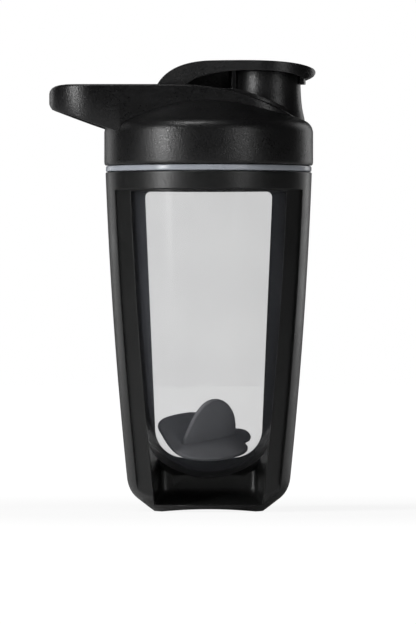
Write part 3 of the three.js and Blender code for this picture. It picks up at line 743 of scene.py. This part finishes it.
def moulded(name, dark, light, gloss, grain, edge, flecks=0.0):
    """Moulded plastic: an etched grain with painted glints on its peaks, uneven sheen, faint scuffs and a few
    pale specks.
    """
    n = Nodes(name)
    cloud = n.noise(55, 4, 0.6)
    etched = n.noise(1150, 2, 0.65)
    scuff = n.noise(260, 6, 0.75)
    colour = n.mix(n.ramp(cloud, 0.35, 0.65, 0, 1), dark, light)
    # painted glints: the grain's peaks are coloured lighter to stand in for the light they catch
    grain_glint_colour = tuple(1.5 * c + 0.006 for c in light)
    colour = n.mix(n.ramp(etched, 0.56, 0.74, 0, grain), colour, grain_glint_colour)
    worn = n.ramp(scuff, 0.66, 0.78, 0, 0.12)
    colour = n.mix(worn, colour, tuple(min(1, 2.5 * c + 0.01) for c in light))
    if flecks:
        cells = n.add("ShaderNodeTexVoronoi")
        cells.inputs["Scale"].default_value = 210
        n.link(n.place, cells.inputs["Vector"])
        chosen = n.math("GREATER_THAN", cells.outputs["Color"], 0.86)
        near = n.math("LESS_THAN", cells.outputs["Distance"], 0.055)
        colour = n.mix(n.math("MULTIPLY", n.math("MULTIPLY", chosen, near), flecks), colour, (0.5, 0.5, 0.5))
    n.link(colour, n.shader.inputs["Base Color"])
    low, high = gloss
    sheen = n.math("ADD", n.ramp(cloud, 0.3, 0.7, low, high), n.ramp(etched, 0.3, 0.7, -0.06, 0.06))
    n.link(sheen, n.shader.inputs["Roughness"])
    n.bump(etched, grain, 0.00016, edge)
    return n.material


def smoked_clear():
    """Tinted clear plastic: mostly see-through, with gloss that grows at grazing angles."""
    n = Nodes("smoked_clear_plastic")
    cloud = n.noise(30, 3, 0.5)
    ripple = n.noise(90, 2, 0.4)
    n.shader.inputs["Roughness"].default_value = 0.25
    n.shader.inputs["Specular IOR Level"].default_value = 0.15
    n.link(n.mix(cloud, (0.16, 0.168, 0.19), (0.2, 0.208, 0.23)), n.shader.inputs["Base Color"])
    n.link(n.ramp(cloud, 0.3, 0.7, 0.115, 0.135), n.shader.inputs["Alpha"])
    relief = n.bump(ripple, 0.012, 0.0002)
    gloss = n.add("ShaderNodeBsdfGlossy")
    n.link(n.ramp(cloud, 0.3, 0.7, 0.12, 0.2), gloss.inputs["Roughness"])
    n.link(relief, gloss.inputs["Normal"])
    facing = n.add("ShaderNodeLayerWeight").outputs["Facing"]
    both = n.add("ShaderNodeMixShader")
    broad = n.ramp(n.math("POWER", facing, 4), 0, 1, 0.002, 0.24)
    narrow = n.ramp(n.math("POWER", facing, 24), 0, 1, 0, 0.6)
    n.link(n.math("ADD", broad, narrow), both.inputs["Fac"])
    n.link(n.shader.outputs["BSDF"], both.inputs[1])
    n.link(gloss.outputs["BSDF"], both.inputs[2])
    n.link(both.outputs["Shader"], n.output.inputs["Surface"])
    return n.material


def collar_painted_glow():
    """The cup's collar, painted a lighter grey to stand in for the light that gathers in the thick ring."""
    n = Nodes("cup_collar_painted_glow")
    cloud = n.noise(40, 4, 0.6)
    fine = n.noise(900, 2, 0.5)
    # painted glow: an opaque lighter grey in place of the light the clear ring gathers
    n.link(n.mix(cloud, (0.3, 0.32, 0.36), (0.5, 0.53, 0.58)), n.shader.inputs["Base Color"])
    n.link(n.ramp(cloud, 0.3, 0.7, 0.16, 0.3), n.shader.inputs["Roughness"])
    n.bump(fine, 0.1, 0.0001)
    return n.material


def brushed_steel():
    n = Nodes("pin_steel")
    lines = n.noise(700, 3, 0.6)
    n.shader.inputs["Metallic"].default_value = 1.0
    n.link(n.mix(lines, (0.42, 0.43, 0.44), (0.6, 0.6, 0.61)), n.shader.inputs["Base Color"])
    n.link(n.ramp(lines, 0.3, 0.7, 0.22, 0.4), n.shader.inputs["Roughness"])
    n.bump(lines, 0.2, 0.0001)
    return n.material


SATIN = moulded(
    "satin_black_plastic", (0.004, 0.004, 0.0043), (0.0065, 0.0065, 0.007), (0.3, 0.36), 0.9, 0.0006
)
SMOOTH = moulded(
    "sleeve_black_plastic", (0.005, 0.0053, 0.0053), (0.008, 0.0083, 0.0083), (0.32, 0.39), 0.45, 0.0006, 0.8
)
# The paddle is black; its mid grey is painted haze, the light the smoked cup wall scatters over it.
PADDLE_PAINTED_HAZE = moulded(
    "paddle_black_plastic_painted_haze", (0.175, 0.177, 0.187), (0.2, 0.202, 0.213), (0.28, 0.36), 0.25, 0.0006, 0.6
)
RUBBER = moulded("dark_silicone", (0.02, 0.02, 0.021), (0.03, 0.03, 0.031), (0.6, 0.7), 0.3, 0.0003)
CLEAR = smoked_clear()
COLLAR_PAINTED_GLOW = collar_painted_glow()
STEEL = brushed_steel()


def place(piece, body, node, slot, material):
    piece.data.materials.clear()
    piece.data.materials.append(material)
    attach(piece, body)
    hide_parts(node)
    return piece


place(outer_sleeve(), "bottle", "outer_sleeve", "sleeve_plastic", SMOOTH)
cup = place(clear_cup(), "bottle", "clear_cup", "clear_plastic", CLEAR)
# The flange faces get the collar material, a lighter grey painted in for the light the clear ring gathers.
cup.data.materials.append(COLLAR_PAINTED_GLOW)
for face in cup.data.polygons:
    spot = face.center / MM
    reach = math.hypot(spot.x, spot.y)
    if reach > NECK_RADIUS + 0.6 and FLANGE_BOTTOM - 0.1 < spot.z < FLANGE_TOP + 0.1:
        face.material_index = 1
place(lid_shell(), "lid", "lid_shell", "black_plastic", SATIN)
place(carry_loop(), "lid", "carry_loop", "black_plastic", SATIN)
place(hinge_pin(), "lid", "hinge_pin", "steel", STEEL)
place(lid_gasket(), "lid_seal", "lid_gasket", "silicone", RUBBER)
place(flip_cap(), "cap", "flip_cap", "black_plastic", SATIN)
place(spout_plug(), "cap", "spout_plug", "silicone", RUBBER)
place(mixing_paddle(), "paddle", "mixing_paddle", "paddle_plastic", PADDLE_PAINTED_HAZE)

# ---- Floor, light and camera ---------------------------------------------------------------------------


def studio_floor():
    half = 6000
    floor = upright("studio_floor", [(-half, -half), (half, -half), (half, half), (-half, half)], -20, -0.05)
    n = Nodes("pale_floor")
    n.shader.inputs["Roughness"].default_value = 0.8
    n.link(n.mix(n.noise(3, 2), (0.86, 0.86, 0.86), (0.9, 0.9, 0.9)), n.shader.inputs["Base Color"])
    glow = n.add("ShaderNodeEmission")
    glow.inputs["Strength"].default_value = 1.06
    path = n.add("ShaderNodeLightPath")
    away = n.add("ShaderNodeVectorMath", operation="LENGTH")
    n.link(n.place, away.inputs[0])
    share = n.ramp(away.outputs["Value"], 0.12, 0.5, 0.84, 1)
    lit = n.add("ShaderNodeMixShader")
    n.link(n.math("MULTIPLY", path.outputs["Is Camera Ray"], share), lit.inputs["Fac"])
    n.link(n.shader.outputs["BSDF"], lit.inputs[1])
    n.link(glow.outputs["Emission"], lit.inputs[2])
    n.link(lit.outputs["Shader"], n.output.inputs["Surface"])
    floor.data.materials.append(n.material)


def softbox(name, azimuth, height, distance, width, tall, power, aim=0.11):
    """A soft light on a circle round the object. Azimuth 0 is in front, and it grows to the right."""
    turn = math.radians(azimuth)
    data = bpy.data.lights.new(name, "AREA")
    data.shape = "RECTANGLE"
    data.size, data.size_y, data.energy = width, tall, power
    lamp = bpy.data.objects.new(name, data)
    lamp.location = (distance * math.sin(turn), -distance * math.cos(turn), height)
    lamp.rotation_euler = (Vector((0, 0, aim)) - lamp.location).to_track_quat("-Z", "Y").to_euler()
    lamp.visible_camera = False
    bpy.context.scene.collection.objects.link(lamp)


def studio_world():
    """White to look at; as a light it is dim."""
    world = bpy.data.worlds.new("studio")
    bpy.context.scene.world = world
    world.use_nodes = True
    tree = world.node_tree
    shown = tree.nodes["Background"]
    shown.inputs["Color"].default_value = (1, 1, 1, 1)
    shown.inputs["Strength"].default_value = 1.0
    fill = tree.nodes.new("ShaderNodeBackground")
    fill.inputs["Color"].default_value = (1, 1, 1, 1)
    fill.inputs["Strength"].default_value = 0.03
    path = tree.nodes.new("ShaderNodeLightPath")
    both = tree.nodes.new("ShaderNodeMixShader")
    tree.links.new(path.outputs["Is Camera Ray"], both.inputs["Fac"])
    tree.links.new(fill.outputs["Background"], both.inputs[1])
    tree.links.new(shown.outputs["Background"], both.inputs[2])
    tree.links.new(both.outputs["Shader"], tree.nodes["World Output"].inputs["Surface"])


def studio_camera():
    data = bpy.data.cameras.new("camera")
    data.sensor_fit = "VERTICAL"
    data.sensor_height = 36
    data.lens = 36 * 3.6 / 0.3077
    data.clip_end = 50
    camera = bpy.data.objects.new("camera", data)
    camera.location = (-0.000345, -3.6, 0.098)
    camera.rotation_euler = (math.pi / 2, 0, 0)
    bpy.context.scene.collection.objects.link(camera)
    bpy.context.scene.camera = camera


studio_floor()
studio_world()
softbox("key_left", -52, 0.45, 1.4, 0.16, 1.0, 13, 0.15)
softbox("key_right", 37, 0.45, 1.4, 0.16, 1.0, 3, 0.15)
softbox("rim_left", -143, 0.2, 1.5, 0.35, 1.4, 2.2)
softbox("rim_right", 143, 0.2, 1.5, 0.4, 1.4, 3)
softbox("overhead", -40, 1.5, 0.5, 0.4, 0.4, 5)
studio_camera()
bpy.context.scene.view_settings.view_transform = "Standard"
